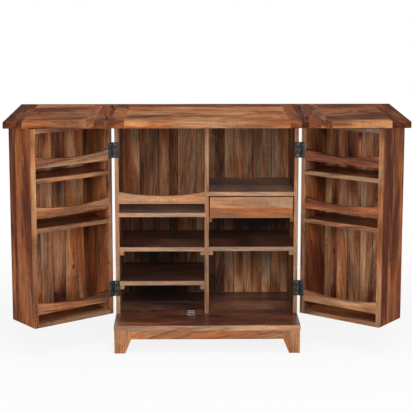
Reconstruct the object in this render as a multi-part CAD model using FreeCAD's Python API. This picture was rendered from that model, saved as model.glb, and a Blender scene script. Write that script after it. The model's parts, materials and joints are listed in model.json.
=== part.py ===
"""Bar cabinet with a fold-out top and two deep, shelved doors, in solid sheesham.

Millimetres, +Z up, +Y towards the back, +X to the right.  The cabinet stands open: both doors are
swung out and the two top leaves lie flat over them.  The origin is on the floor, in the middle of
the open cabinet's outline.  While it is built, Y = 0 is the carcass's front edge; the finished
pieces are shifted to the origin when they are written.
"""
import FreeCAD
import Part
import math
import os

V = FreeCAD.Vector

# ---------------------------------------------------------------- driving dimensions
BOARD = 18.0                  # sides, divider, shelves, door boards and rails
HOUSING = 6.0                 # how far a board is let into the one that carries it
EASE = 0.8                    # small chamfer on the long edges of a board

CARCASS_WIDTH = 800.0
CARCASS_HEIGHT = 856.0        # from the base board's top to the top slab's underside
CARCASS_INNER_DEPTH = 358.0
BACK_THICK = 12.0
BACK_REBATE = 9.0             # how far the back reaches into the side panels
BACK_PLANKS = 9

LEG_HEIGHT = 101.0
LEG_WIDTH = 72.0
LEG_FOOT = 46.0               # width of the leg where it meets the floor
LEG_SETBACK = 2.0             # legs stand this far inside the base board's edge
APRON_HEIGHT = 39.0
APRON_THICK = 20.0
APRON_SETBACK = 2.0           # apron face behind the leg face
TENON_LENGTH = 14.0
TENON_SHOULDER = 5.0          # what the tenon loses on each side
BASE_THICK = 21.0
BASE_EASE = 2.0

SLAB_THICK = 28.0
SLAB_OVERHANG = 25.0
SLAB_EASE = 2.0
SLAB_END_WIDTH = 80.0         # cross-grain end boards
TONGUE_THICK = 9.0
TONGUE_LENGTH = 12.0
TONGUE_STOP = 40.0            # tongue ends this far short of front and back
LEAF_SEAM = 0.6               # gap between a leaf and the middle slab
LEAF_MEET_GAP = 1.0           # gap between the two leaves when folded
LEAF_LIFT = 0.25              # pin of the top hinge above the slab's surface

LEFT_SHELVES = (452.0, 298.0, 145.0)      # upper faces above the base board, from the top down
RIGHT_SHELVES = (545.0, 299.0)
SHELF_PLAY = 0.5              # side clearance of a loose shelf on its cleats
CLEAT_WIDTH = 19.0
CLEAT_HEIGHT = 18.0
CLEAT_SETBACK = 3.0
BOTTLE_RAIL_GAP = 41.0        # open slot between the housed left shelf and its rail
BOTTLE_RAIL_HEIGHT = 53.0
BOTTLE_RAIL_DIP = 19.0

DOOR_DEPTH = 190.0
DOOR_SETBACK = 5.0            # closed door behind the base board's front edge
DOOR_CLEARANCE = 2.0          # above the base board and below the slab
DOOR_MEET_GAP = 3.0
DOOR_PANEL_THICK = 14.0
DOOR_PANEL_RECESS = 2.0       # panel's outer face behind the frame's outer edge
DOOR_PANEL_REBATE = 9.0
DOOR_PLANKS = 6
DOOR_UPPER_BAY = 194.0        # clear height between the upper shelf and the top board
DOOR_LOWER_BAY = 392.0        # clear height between the bottom board and the lower shelf
DOOR_RAIL_HEIGHT = 48.0
DOOR_RAIL_DIP = 17.5
DOOR_RAIL_GAP = 46.0          # slot between a door shelf and the rail above it
DOOR_FOOT_RAIL_GAP = 40.0     # the same above the door's bottom board
DOOR_RAIL_SETBACK = 2.0
DOOR_OPEN = 143.0             # degrees from closed, as the cabinet stands

HINGE_LENGTH = 69.0
HINGE_GAUGE = 1.4             # plate thickness
HINGE_PLAY = 0.2              # gap between the two plates when the hinge is shut
HINGE_KNUCKLES = 3
KNUCKLE_RADIUS = 4.0
KNUCKLE_RELIEF = 0.4
KNUCKLE_END_PLAY = 0.3
PIN_RADIUS = 2.0
PIN_PLAY = 0.05
PIN_OUTBOARD = 5.6            # pin beyond the carcass's side
DOOR_HINGE_ABOVE_FOOT = 113.0  # lower hinge centre above the door's bottom edge
DOOR_HINGE_BELOW_TOP = 123.0   # upper hinge centre below the door's top edge
TOP_HINGE_INSET = 110.0       # hinge centre from the slab's front and back edges

DRAWER_HEIGHT = 93.0
DRAWER_BACK_GAP = 18.0        # between the shut drawer and the back planks
DRAWER_TOP_GAP = 5.0
DRAWER_SIDE_GAP = 5.0
DRAWER_WALL = 12.0
DRAWER_WALL_DROP = 5.0        # sides lower than the front
DRAWER_BOTTOM_THICK = 6.0
DRAWER_BOTTOM_RAISE = 9.0
RUNNER_WIDTH = 15.0
RUNNER_HEIGHT = 20.0
RUNNER_PLAY = 0.3

CATCH_LENGTH = 35.0
CATCH_HEIGHT = 15.0
CATCH_DEPTH = 14.0
CATCH_OFFSET = 51.0           # catch from the cabinet's middle
CATCH_PROUD = 1.0             # catch body in front of the carcass's edge
POLE_THICK = 1.6
POLE_PROUD = 0.3
POLE_SPACING = 7.0
STRIKE_LENGTH = 32.0
STRIKE_HEIGHT = 13.0
STRIKE_THICK = 1.2

KNOB_SIZE = 26.0              # side of the square head
KNOB_HEAD_LENGTH = 12.0
KNOB_NECK = 12.0              # side of the square neck
KNOB_NECK_LENGTH = 11.0
KNOB_BEVEL = 4.0              # round the knob's face
KNOB_BELOW_TOP = 416.0        # from the door's top edge
KNOB_INSET = 45.0             # from the door's free edge

# ---------------------------------------------------------------- worked-out places
HALF = CARCASS_WIDTH / 2
BASE_BOTTOM = LEG_HEIGHT
FLOOR_TOP = BASE_BOTTOM + BASE_THICK
SLAB_BOTTOM = FLOOR_TOP + CARCASS_HEIGHT
SLAB_TOP = SLAB_BOTTOM + SLAB_THICK
CARCASS_BACK = CARCASS_INNER_DEPTH + BACK_THICK
DOOR_GAP = 2 * HINGE_GAUGE + HINGE_PLAY
BASE_FRONT = -(DOOR_GAP + DOOR_DEPTH + DOOR_SETBACK)
SLAB_FRONT = BASE_FRONT - SLAB_OVERHANG
SLAB_BACK = CARCASS_BACK + SLAB_OVERHANG
SEAM_X = HALF + SLAB_OVERHANG
INNER_SIDE = HALF - BOARD
INNER_DIVIDER = BOARD / 2
PLATE_WIDTH = PIN_OUTBOARD + BOARD

DOOR_BOTTOM = FLOOR_TOP + DOOR_CLEARANCE
DOOR_TOP = SLAB_BOTTOM - DOOR_CLEARANCE
DOOR_INNER = -DOOR_GAP
DOOR_OUTER = DOOR_INNER - DOOR_DEPTH
DOOR_HINGE_EDGE = -HALF
DOOR_FREE_EDGE = -DOOR_MEET_GAP / 2
PIN_X = HALF + PIN_OUTBOARD
PIN_Y = -DOOR_GAP / 2
PANEL_OUTER = DOOR_OUTER + DOOR_PANEL_RECESS
PANEL_INNER = PANEL_OUTER + DOOR_PANEL_THICK
DOOR_SHELF_TOPS = (DOOR_TOP - BOARD - DOOR_UPPER_BAY, DOOR_BOTTOM + BOARD + DOOR_LOWER_BAY + BOARD)
DOOR_HINGE_CENTRES = (DOOR_BOTTOM + DOOR_HINGE_ABOVE_FOOT, DOOR_TOP - DOOR_HINGE_BELOW_TOP)

LEFT_SHELF_TOPS = [FLOOR_TOP + height for height in LEFT_SHELVES]
RIGHT_SHELF_TOPS = [FLOOR_TOP + height for height in RIGHT_SHELVES]
DRAWER_FRONT_TOP = RIGHT_SHELF_TOPS[0] - BOARD - DRAWER_TOP_GAP
DRAWER_FRONT_BOTTOM = DRAWER_FRONT_TOP - DRAWER_HEIGHT
DRAWER_LEFT = INNER_DIVIDER + DRAWER_SIDE_GAP
DRAWER_RIGHT = INNER_SIDE - DRAWER_SIDE_GAP
DRAWER_DEPTH = CARCASS_INNER_DEPTH - DRAWER_BACK_GAP

# The front-most point is the slab's edge or the free inner corner of the open doors.
CORNER_X = PIN_X + DOOR_FREE_EDGE
CORNER_Y = DOOR_INNER - PIN_Y
CORNER_ANGLE = math.atan2(-CORNER_Y, CORNER_X) + math.radians(DOOR_OPEN)
DOOR_REACH = PIN_Y - math.hypot(CORNER_X, CORNER_Y) * math.sin(CORNER_ANGLE)
ORIGIN_Y = (min(SLAB_FRONT, DOOR_REACH) + SLAB_BACK) / 2


# ---------------------------------------------------------------- helpers
def box(x0, x1, y0, y1, z0, z1):
    """A plain block between two values on each axis."""
    return Part.makeBox(x1 - x0, y1 - y0, z1 - z0, V(x0, y0, z0))


def edges_along(shape, axis):
    """The straight edges of a shape that run along X, Y or Z."""
    found = []
    for edge in shape.Edges:
        span = edge.BoundBox
        lengths = {"x": span.XLength, "y": span.YLength, "z": span.ZLength}
        others = sum(value for name, value in lengths.items() if name != axis)
        if others < lengths[axis] / 1000:
            found.append(edge)
    return found


def board(x0, x1, y0, y1, z0, z1, along):
    """A sawn board whose long edges are slightly eased."""
    block = box(x0, x1, y0, y1, z0, z1)
    return block.makeChamfer(EASE, edges_along(block, along))


def planks(count, x0, x1, y0, y1, z0, z1):
    """Vertical planks side by side, each with eased edges that show as a fine V joint."""
    width = (x1 - x0) / count
    return [board(x0 + i * width, x0 + (i + 1) * width, y0, y1, z0, z1, "z") for i in range(count)]


def concave_rail(x0, x1, y0, y1, z0, height, dip, tenon):
    """A rail whose top edge sags in a shallow arc, with its ends let into the boards beside it."""
    top = z0 + height
    middle = (x0 + x1) / 2
    outline = [
        Part.LineSegment(V(x0 - tenon, y0, top), V(x0 - tenon, y0, z0)).toShape(),
        Part.LineSegment(V(x0 - tenon, y0, z0), V(x1 + tenon, y0, z0)).toShape(),
        Part.LineSegment(V(x1 + tenon, y0, z0), V(x1 + tenon, y0, top)).toShape(),
        Part.LineSegment(V(x1 + tenon, y0, top), V(x1, y0, top)).toShape(),
        Part.Arc(V(x1, y0, top), V(middle, y0, top - dip), V(x0, y0, top)).toShape(),
        Part.LineSegment(V(x0, y0, top), V(x0 - tenon, y0, top)).toShape(),
    ]
    face = Part.Face(Part.Wire(outline))
    return face.extrude(V(0, y1 - y0, 0))


def mirrored(shape):
    """The same piece on the other side of the cabinet's middle plane."""
    return shape.mirror(V(0, 0, 0), V(1, 0, 0))


def write(node, *pieces):
    """Write one node: a single solid, or a group of separate ones."""
    solids = [solid for piece in pieces for solid in piece.Solids]
    shape = solids[0] if len(solids) == 1 else Part.makeCompound(solids)
    shape = shape.copy()
    shape.translate(V(0, -ORIGIN_Y, 0))
    shape.exportStep(os.path.join("parts", node + ".step"))


# ---------------------------------------------------------------- butt hinge
def knuckle_spans(fixed):
    """Start and end, along the pin, of the knuckles of the fixed or of the moving plate."""
    pitch = HINGE_LENGTH / HINGE_KNUCKLES
    first = 0 if fixed else 1
    spans = []
    for i in range(first, HINGE_KNUCKLES, 2):
        start = -HINGE_LENGTH / 2 + i * pitch
        spans.append((start, start + pitch))
    return spans


def hinge_plate(fixed):
    """A plate with its knuckles.  The pin is the Z axis and both plates lie along +X when shut."""
    near = HINGE_PLAY / 2
    far = near + HINGE_GAUGE
    y0, y1 = (near, far) if fixed else (-far, -near)
    end = HINGE_LENGTH / 2
    plate = box(0, PLATE_WIDTH, y0, y1, -end, end)
    reach = KNUCKLE_RADIUS + KNUCKLE_RELIEF
    for start, stop in knuckle_spans(not fixed):
        play = KNUCKLE_END_PLAY / 2
        plate = plate.cut(box(0, reach, y0, y1, start - play, stop + play))
    for start, stop in knuckle_spans(fixed):
        low = start + KNUCKLE_END_PLAY / 2
        knuckle = Part.makeCylinder(KNUCKLE_RADIUS, stop - start - KNUCKLE_END_PLAY, V(0, 0, low))
        plate = plate.fuse(knuckle)
    bore = Part.makeCylinder(PIN_RADIUS + PIN_PLAY, HINGE_LENGTH, V(0, 0, -end))
    return plate.cut(bore).removeSplitter()


def hinge_pin():
    """The pin, flush with both ends of the plates it joins."""
    return Part.makeCylinder(PIN_RADIUS, HINGE_LENGTH, V(0, 0, -HINGE_LENGTH / 2))


def upright(shape, height):
    """A hinge part on the left door's pin line, at this height."""
    placed = shape.copy()
    placed.translate(V(-PIN_X, PIN_Y, height))
    return placed


def in_seam(shape, y):
    """A hinge part in the left seam of the top, its plates hanging down and its pin along Y."""
    turn = FreeCAD.Rotation(V(0, 0, -1), V(1, 0, 0), V(0, -1, 0), "ZXY")
    placed = shape.copy()
    placed.Placement = FreeCAD.Placement(V(-SEAM_X, y, SLAB_TOP + LEAF_LIFT), turn)
    return placed


def seam_hinge_places():
    """Y of the two hinges in each seam."""
    return (SLAB_FRONT + TOP_HINGE_INSET, SLAB_BACK - TOP_HINGE_INSET)


def seam_relief():
    """What is cut out of the slabs beside the left seam, so that its hinges lie flush."""
    end = HINGE_LENGTH / 2
    half_gauge = HINGE_PLAY / 2 + HINGE_GAUGE
    reach = KNUCKLE_RADIUS + KNUCKLE_RELIEF
    pocket = box(0, PLATE_WIDTH, -half_gauge, half_gauge, -end, end)
    groove = box(-reach, reach, -reach, reach, -end, end)
    shape = pocket.fuse(groove)
    return [in_seam(shape, y) for y in seam_hinge_places()]


# ---------------------------------------------------------------- base
def leg():
    """The front left leg: outer faces upright, inner faces tapered below the apron."""
    taper_top = LEG_HEIGHT - APRON_HEIGHT
    profile = [(0, 0), (LEG_FOOT, 0), (LEG_WIDTH, taper_top), (LEG_WIDTH, LEG_HEIGHT), (0, LEG_HEIGHT)]
    ring = profile + profile[:1]
    front = Part.Face(Part.makePolygon([V(x, 0, z) for x, z in ring])).extrude(V(0, LEG_WIDTH, 0))
    side = Part.Face(Part.makePolygon([V(0, y, z) for y, z in ring])).extrude(V(LEG_WIDTH, 0, 0))
    shape = front.common(side)
    shape.translate(V(-HALF + LEG_SETBACK, BASE_FRONT + LEG_SETBACK, 0))
    return shape


def apron(x0, x1, y0, y1, along):
    """An apron rail between two legs, with a shouldered tenon at each end."""
    z0 = LEG_HEIGHT - APRON_HEIGHT
    body = box(x0, x1, y0, y1, z0, LEG_HEIGHT)
    low, high = z0 + TENON_SHOULDER, LEG_HEIGHT - TENON_SHOULDER
    if along == "x":
        tenon = box(x0 - TENON_LENGTH, x1 + TENON_LENGTH, y0 + TENON_SHOULDER, y1 - TENON_SHOULDER, low, high)
    else:
        tenon = box(x0 + TENON_SHOULDER, x1 - TENON_SHOULDER, y0 - TENON_LENGTH, y1 + TENON_LENGTH, low, high)
    return body.fuse(tenon).removeSplitter()


def make_base():
    """Base board on four tapered legs joined by aprons."""
    board_shape = box(-HALF, HALF, BASE_FRONT, CARCASS_BACK, BASE_BOTTOM, FLOOR_TOP)
    rim = [edge for edge in board_shape.Edges if abs(edge.BoundBox.Center.z - FLOOR_TOP) < EASE]
    write("base_board", board_shape.makeFillet(BASE_EASE, rim))

    inset = LEG_SETBACK + APRON_SETBACK
    side_x = HALF - LEG_SETBACK - LEG_WIDTH
    front_y = BASE_FRONT + LEG_SETBACK + LEG_WIDTH
    back_y = CARCASS_BACK - LEG_SETBACK - LEG_WIDTH
    front = apron(-side_x, side_x, BASE_FRONT + inset, BASE_FRONT + inset + APRON_THICK, "x")
    back = apron(-side_x, side_x, CARCASS_BACK - inset - APRON_THICK, CARCASS_BACK - inset, "x")
    left = apron(-HALF + inset, -HALF + inset + APRON_THICK, front_y, back_y, "y")
    right = mirrored(left)
    write("aprons_long", front, back)
    write("aprons_side", left, right)

    front_left = leg()
    middle_y = (BASE_FRONT + CARCASS_BACK) / 2
    back_left = front_left.mirror(V(0, middle_y, 0), V(0, 1, 0))
    for node, corner, long_apron in (("legs_front", front_left, front), ("legs_back", back_left, back)):
        left_leg = corner.cut(long_apron).cut(left)
        write(node, left_leg, mirrored(left_leg))


# ---------------------------------------------------------------- carcass
def housed_shelf(x0, x1, top):
    """A fixed shelf let into the upright boards at both ends."""
    return board(x0 - HOUSING, x1 + HOUSING, 0, CARCASS_INNER_DEPTH, top - BOARD, top, "x")


def loose_shelf(x0, x1, top):
    """A shelf that lies on cleats."""
    return board(x0 + SHELF_PLAY, x1 - SHELF_PLAY, 0, CARCASS_INNER_DEPTH, top - BOARD, top, "x")


def cleats(x0, x1, top):
    """The pair of cleats whose upper faces are at this height, against the uprights at x0 and x1."""
    y0, y1 = CLEAT_SETBACK, CARCASS_INNER_DEPTH
    z0 = top - CLEAT_HEIGHT
    near = box(x0, x0 + CLEAT_WIDTH, y0, y1, z0, top)
    far = box(x1 - CLEAT_WIDTH, x1, y0, y1, z0, top)
    return [near, far]


def make_carcass():
    """Side panels, divider, planked back, shelves, cleats, bottle rail and drawer runners."""
    left_bay = (-INNER_SIDE, -INNER_DIVIDER)
    right_bay = (INNER_DIVIDER, INNER_SIDE)
    shelf_upper_left = housed_shelf(*left_bay, LEFT_SHELF_TOPS[0])
    shelf_upper_right = housed_shelf(*right_bay, RIGHT_SHELF_TOPS[0])
    rail = concave_rail(*left_bay, 0, BOARD, LEFT_SHELF_TOPS[0] + BOTTLE_RAIL_GAP,
                        BOTTLE_RAIL_HEIGHT, BOTTLE_RAIL_DIP, HOUSING)
    back_edge = HALF - BACK_REBATE
    back = planks(BACK_PLANKS, -back_edge, back_edge, CARCASS_INNER_DEPTH, CARCASS_BACK,
                  FLOOR_TOP, SLAB_BOTTOM)
    rebate = box(-back_edge, back_edge, CARCASS_INNER_DEPTH, CARCASS_BACK, FLOOR_TOP, SLAB_BOTTOM)

    panel = board(-HALF, -INNER_SIDE, 0, CARCASS_BACK, FLOOR_TOP, SLAB_BOTTOM, "z").cut(rebate)
    divider = board(-INNER_DIVIDER, INNER_DIVIDER, 0, CARCASS_INNER_DEPTH, FLOOR_TOP, SLAB_BOTTOM, "z")
    write("side_panel_left", panel.cut(shelf_upper_left).cut(rail))
    write("side_panel_right", mirrored(panel).cut(shelf_upper_right))
    write("divider", divider.cut(shelf_upper_left).cut(rail).cut(shelf_upper_right))
    write("back_planks", *back)
    write("shelf_left_upper", shelf_upper_left)
    write("shelf_left_middle", loose_shelf(*left_bay, LEFT_SHELF_TOPS[1]))
    write("shelf_left_lower", loose_shelf(*left_bay, LEFT_SHELF_TOPS[2]))
    write("shelf_right_upper", shelf_upper_right)
    write("shelf_right_lower", loose_shelf(*right_bay, RIGHT_SHELF_TOPS[1]))
    write("bottle_rail", rail)

    strips = cleats(*left_bay, LEFT_SHELF_TOPS[1] - BOARD)
    strips += cleats(*left_bay, LEFT_SHELF_TOPS[2] - BOARD)
    strips += cleats(*right_bay, RIGHT_SHELF_TOPS[1] - BOARD)
    strips += cleats(*left_bay, SLAB_BOTTOM) + cleats(*right_bay, SLAB_BOTTOM)
    write("cleats", *strips)

    runner_top = DRAWER_FRONT_BOTTOM - RUNNER_PLAY
    runner_front = BOARD + RUNNER_PLAY
    runner = box(right_bay[0], right_bay[0] + RUNNER_WIDTH, runner_front, CARCASS_INNER_DEPTH,
                 runner_top - RUNNER_HEIGHT, runner_top)
    middle = (right_bay[0] + right_bay[1]) / 2
    write("drawer_runners", runner, runner.mirror(V(middle, 0, 0), V(1, 0, 0)))


# ---------------------------------------------------------------- drawer
def make_drawer():
    """Front, two sides and back, with the bottom let into all four."""
    z0, z1 = DRAWER_FRONT_BOTTOM, DRAWER_FRONT_TOP
    wall_top = z1 - DRAWER_WALL_DROP
    back_y = DRAWER_DEPTH - DRAWER_WALL
    inner_left, inner_right = DRAWER_LEFT + DRAWER_WALL, DRAWER_RIGHT - DRAWER_WALL
    groove = DRAWER_WALL / 2
    bottom = box(inner_left - groove, inner_right + groove, BOARD - groove, back_y + groove,
                 z0 + DRAWER_BOTTOM_RAISE, z0 + DRAWER_BOTTOM_RAISE + DRAWER_BOTTOM_THICK)
    front = board(DRAWER_LEFT, DRAWER_RIGHT, 0, BOARD, z0, z1, "x")
    side = box(DRAWER_LEFT, inner_left, BOARD, DRAWER_DEPTH, z0, wall_top)
    other = box(inner_right, DRAWER_RIGHT, BOARD, DRAWER_DEPTH, z0, wall_top)
    back = box(inner_left, inner_right, back_y, DRAWER_DEPTH, z0, wall_top)
    write("drawer_front", front.cut(bottom))
    write("drawer_sides", side.cut(bottom), other.cut(bottom))
    write("drawer_back", back.cut(bottom))
    write("drawer_bottom", bottom)


# ---------------------------------------------------------------- top
def slab(x0, x1, ease_outer):
    """A slab with eased edges; its outer end, at x0, is eased only on a folding leaf."""
    block = box(x0, x1, SLAB_FRONT, SLAB_BACK, SLAB_BOTTOM, SLAB_TOP)
    edges = edges_along(block, "x")
    if ease_outer:
        edges += [edge for edge in block.Edges if abs(edge.BoundBox.Center.x - x0) < EASE]
    return block.makeChamfer(SLAB_EASE, edges)


def breadboard(whole, x0, x1, inner0, inner1):
    """Split a slab into a core and two cross-grain ends, joined by stopped tongues."""
    deep = (SLAB_FRONT, SLAB_BACK)
    high = (SLAB_BOTTOM, SLAB_TOP)
    middle = (SLAB_BOTTOM + SLAB_TOP) / 2
    tongue = box(inner0 - TONGUE_LENGTH, inner1 + TONGUE_LENGTH, SLAB_FRONT + TONGUE_STOP,
                 SLAB_BACK - TONGUE_STOP, middle - TONGUE_THICK / 2, middle + TONGUE_THICK / 2)
    core = whole.common(box(inner0, inner1, *deep, *high)).fuse(tongue).removeSplitter()
    first = whole.common(box(x0, inner0, *deep, *high)).cut(tongue)
    second = whole.common(box(inner1, x1, *deep, *high)).cut(tongue)
    return core, first, second


def make_top():
    """The fixed middle slab and the two leaves that fold onto it."""
    relief = seam_relief()
    reliefs = relief + [mirrored(shape) for shape in relief]
    edge = SEAM_X - LEAF_SEAM / 2
    inner = edge - SLAB_END_WIDTH
    core, first, second = breadboard(slab(-edge, edge, False), -edge, edge, -inner, inner)
    write("top_core", core)
    write("top_end_left", first.cut(Part.makeCompound(reliefs)))
    write("top_end_right", second.cut(Part.makeCompound(reliefs)))

    outer = -(2 * SEAM_X - LEAF_MEET_GAP / 2)
    seam = -(SEAM_X + LEAF_SEAM / 2)
    pieces = breadboard(slab(outer, seam, True), outer, seam, outer + SLAB_END_WIDTH, seam - SLAB_END_WIDTH)
    core, outer_end, inner_end = pieces
    inner_end = inner_end.cut(Part.makeCompound(relief))
    for side, place in (("left", lambda shape: shape), ("right", mirrored)):
        write(side + "_leaf_core", place(core))
        write(side + "_leaf_outer_end", place(outer_end))
        write(side + "_leaf_inner_end", place(inner_end))


# ---------------------------------------------------------------- doors
def door_knob():
    """A square knob with a bevelled face, on the closed left door's outer face near its free edge."""
    half_head, half_neck = KNOB_SIZE / 2, KNOB_NECK / 2
    front = -KNOB_NECK_LENGTH - KNOB_HEAD_LENGTH
    neck = box(-half_neck, half_neck, -KNOB_NECK_LENGTH, 0, -half_neck, half_neck)
    head = box(-half_head, half_head, front, -KNOB_NECK_LENGTH, -half_head, half_head)
    rim = [edge for edge in head.Edges if abs(edge.BoundBox.YMax - front) < EASE]
    knob = head.makeChamfer(KNOB_BEVEL, rim).fuse(neck)
    knob.translate(V(DOOR_FREE_EDGE - KNOB_INSET, PANEL_OUTER, DOOR_TOP - KNOB_BELOW_TOP))
    return knob


def door_strike(at_top):
    """The steel strike plate on the inner edge of the bottom or the top board, opposite its catch."""
    x1 = -CATCH_OFFSET - (CATCH_LENGTH - STRIKE_LENGTH) / 2
    middle = DOOR_TOP - BOARD / 2 if at_top else DOOR_BOTTOM + BOARD / 2
    return box(x1 - STRIKE_LENGTH, x1, DOOR_INNER, DOOR_INNER + STRIKE_THICK,
               middle - STRIKE_HEIGHT / 2, middle + STRIKE_HEIGHT / 2)


def door_pieces():
    """The left door, shut: a deep box of two stiles, two boards, planks, shelves and rails."""
    x0, x1 = DOOR_HINGE_EDGE + BOARD, DOOR_FREE_EDGE - BOARD
    z0, z1 = DOOR_BOTTOM + BOARD, DOOR_TOP - BOARD
    lap = DOOR_PANEL_REBATE
    panel = planks(DOOR_PLANKS, x0 - lap, x1 + lap, PANEL_OUTER, PANEL_INNER, z0 - lap, z1 + lap)
    rebate = box(x0 - lap, x1 + lap, DOOR_OUTER, PANEL_INNER, z0 - lap, z1 + lap)
    face = DOOR_INNER - DOOR_RAIL_SETBACK
    shelves = [board(x0 - HOUSING, x1 + HOUSING, PANEL_INNER, face, top - BOARD, top, "x")
               for top in DOOR_SHELF_TOPS]
    feet = [top + DOOR_RAIL_GAP for top in DOOR_SHELF_TOPS] + [z0 + DOOR_FOOT_RAIL_GAP]
    rails = [concave_rail(x0, x1, face - BOARD, face, foot, DOOR_RAIL_HEIGHT, DOOR_RAIL_DIP, HOUSING)
             for foot in feet]
    let_in = Part.makeCompound([rebate] + shelves + rails)
    hinge_stile = board(DOOR_HINGE_EDGE, x0, DOOR_OUTER, DOOR_INNER, DOOR_BOTTOM, DOOR_TOP, "z").cut(let_in)
    free_stile = board(x1, DOOR_FREE_EDGE, DOOR_OUTER, DOOR_INNER, DOOR_BOTTOM, DOOR_TOP, "z").cut(let_in)
    return {
        "hinge_stile": [hinge_stile],
        "free_stile": [free_stile],
        "bottom_board": [box(x0, x1, DOOR_OUTER, DOOR_INNER, DOOR_BOTTOM, z0).cut(rebate)],
        "top_board": [box(x0, x1, DOOR_OUTER, DOOR_INNER, z1, DOOR_TOP).cut(rebate)],
        "planks": panel,
        "shelves": shelves,
        "rail_upper": rails[:1],
        "rail_middle": rails[1:2],
        "rail_lower": rails[2:],
        "hinge_plates": [upright(hinge_plate(False), height) for height in DOOR_HINGE_CENTRES],
        "knob": [door_knob()],
    }


def make_doors():
    """Both doors, swung open about their pins."""
    for side, angle in (("left", -DOOR_OPEN), ("right", DOOR_OPEN)):
        is_right = side == "right"
        pieces = dict(door_pieces(), strike=[door_strike(is_right)])
        pin = V(PIN_X if is_right else -PIN_X, PIN_Y, 0)
        for name, shapes in pieces.items():
            placed = []
            for shape in shapes:
                shape = mirrored(shape) if is_right else shape
                placed.append(shape.rotate(pin, V(0, 0, 1), angle))
            write(side + "_door_" + name, *placed)


# ---------------------------------------------------------------- hardware on the cabinet
def catch_middle(at_top):
    """Height of a catch's middle: on the base board, or hung under the slab."""
    if at_top:
        return SLAB_BOTTOM - CATCH_HEIGHT / 2
    return FLOOR_TOP + CATCH_HEIGHT / 2


def catch(at_top):
    """A magnetic catch left of the middle: its body and the two pole plates it holds."""
    middle = catch_middle(at_top)
    x0, x1 = -CATCH_OFFSET - CATCH_LENGTH, -CATCH_OFFSET
    y0 = -CATCH_PROUD
    body = box(x0, x1, y0, y0 + CATCH_DEPTH, middle - CATCH_HEIGHT / 2, middle + CATCH_HEIGHT / 2)
    inset = (CATCH_LENGTH - STRIKE_LENGTH) / 2
    poles = []
    for sign in (-1, 1):
        z = middle + sign * POLE_SPACING / 2
        poles.append(box(x0 + inset, x1 - inset, y0 - POLE_PROUD, y0 + CATCH_DEPTH / 2,
                         z - POLE_THICK / 2, z + POLE_THICK / 2))
    return body.cut(Part.makeCompound(poles)), poles


def make_hardware():
    """Hinge plates, pins and door catches on the cabinet, and the plates on the leaves."""
    fixed = [upright(hinge_plate(True), height) for height in DOOR_HINGE_CENTRES]
    fixed += [in_seam(hinge_plate(True), y) for y in seam_hinge_places()]
    pins = [upright(hinge_pin(), height) for height in DOOR_HINGE_CENTRES]
    pins += [in_seam(hinge_pin(), y) for y in seam_hinge_places()]
    moving = [in_seam(hinge_plate(False), y) for y in seam_hinge_places()]
    write("hinge_fixed_plates", *fixed, *[mirrored(shape) for shape in fixed])
    write("hinge_pins", *pins, *[mirrored(shape) for shape in pins])
    write("left_leaf_hinge_plates", *moving)
    write("right_leaf_hinge_plates", *[mirrored(shape) for shape in moving])

    low_body, low_poles = catch(False)
    high_body, high_poles = catch(True)
    write("catch_bodies", low_body, mirrored(high_body))
    write("catch_poles", *low_poles, *[mirrored(pole) for pole in high_poles])


os.makedirs("parts", exist_ok=True)
make_base()
make_carcass()
make_drawer()
make_top()
make_doors()
make_hardware()
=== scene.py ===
# %% [markdown]
# # Bar cabinet with a fold-out top
# The cabinet is a solid sheesham carcass on a low base, with two deep doors that carry shelves of their
# own and a top whose two leaves fold out over the open doors. The joinery already exists as a packed
# frame of boards. This lesson gives every board its own timber, blackens the iron, models the hinges,
# strikes and screws in full, and sets a camera and plain light. Everything is in metres, with +Z up
# and +Y to the back.

# %% Load the joinery
import json
import math

import bpy
from mathutils import Matrix, Vector


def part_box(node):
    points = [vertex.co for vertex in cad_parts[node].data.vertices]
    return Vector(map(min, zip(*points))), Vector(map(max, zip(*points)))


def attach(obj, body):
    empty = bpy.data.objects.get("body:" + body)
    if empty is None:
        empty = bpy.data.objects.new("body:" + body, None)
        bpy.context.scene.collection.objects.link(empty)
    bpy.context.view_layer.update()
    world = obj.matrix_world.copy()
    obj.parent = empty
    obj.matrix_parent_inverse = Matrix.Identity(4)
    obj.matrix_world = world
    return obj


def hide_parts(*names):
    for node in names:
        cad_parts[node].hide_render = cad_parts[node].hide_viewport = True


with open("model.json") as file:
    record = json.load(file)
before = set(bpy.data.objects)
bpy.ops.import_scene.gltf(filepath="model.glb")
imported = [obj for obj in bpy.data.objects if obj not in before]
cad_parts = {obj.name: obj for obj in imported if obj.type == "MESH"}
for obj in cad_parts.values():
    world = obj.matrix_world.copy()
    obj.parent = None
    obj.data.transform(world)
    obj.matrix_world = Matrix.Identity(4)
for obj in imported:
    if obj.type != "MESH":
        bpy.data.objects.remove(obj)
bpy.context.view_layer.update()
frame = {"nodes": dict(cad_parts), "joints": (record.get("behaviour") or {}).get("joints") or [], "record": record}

NODES = frame["nodes"]

# %% [markdown]
# ## Short words for shader nodes
# A finish is a small network of nodes. Written out in full, each one takes five or six lines, so these
# helpers place a node and join its sockets in one. A socket that is given another node's output is
# linked to it, and any other value is simply set.

# %% Place and join shader nodes
MIX_FIRST, MIX_SECOND, MIX_RESULT = 6, 7, 2  # a Mix node's sockets for colours


def put(tree, kind, sockets=None, **settings):
    """A shader node with its settings made and its sockets set or linked."""
    node = tree.nodes.new("ShaderNode" + kind)
    for name, value in settings.items():
        setattr(node, name, value)
    for key, value in (sockets or {}).items():
        if isinstance(value, bpy.types.NodeSocket):
            tree.links.new(value, node.inputs[key])
        else:
            node.inputs[key].default_value = value
    return node


def cleared(owner):
    """The emptied node tree of a material or world."""
    owner.use_nodes = True
    owner.node_tree.nodes.clear()
    return owner.node_tree


def maths(tree, operation, first, *others, clamp=False):
    """One operation carried through numbers from left to right. clamp holds the result in 0 to 1."""
    result = first
    for other in others or (0.0,):
        node = put(tree, "Math", {0: result, 1: other}, operation=operation)
        result = node.outputs[0]
    node.use_clamp = clamp
    return result


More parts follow.
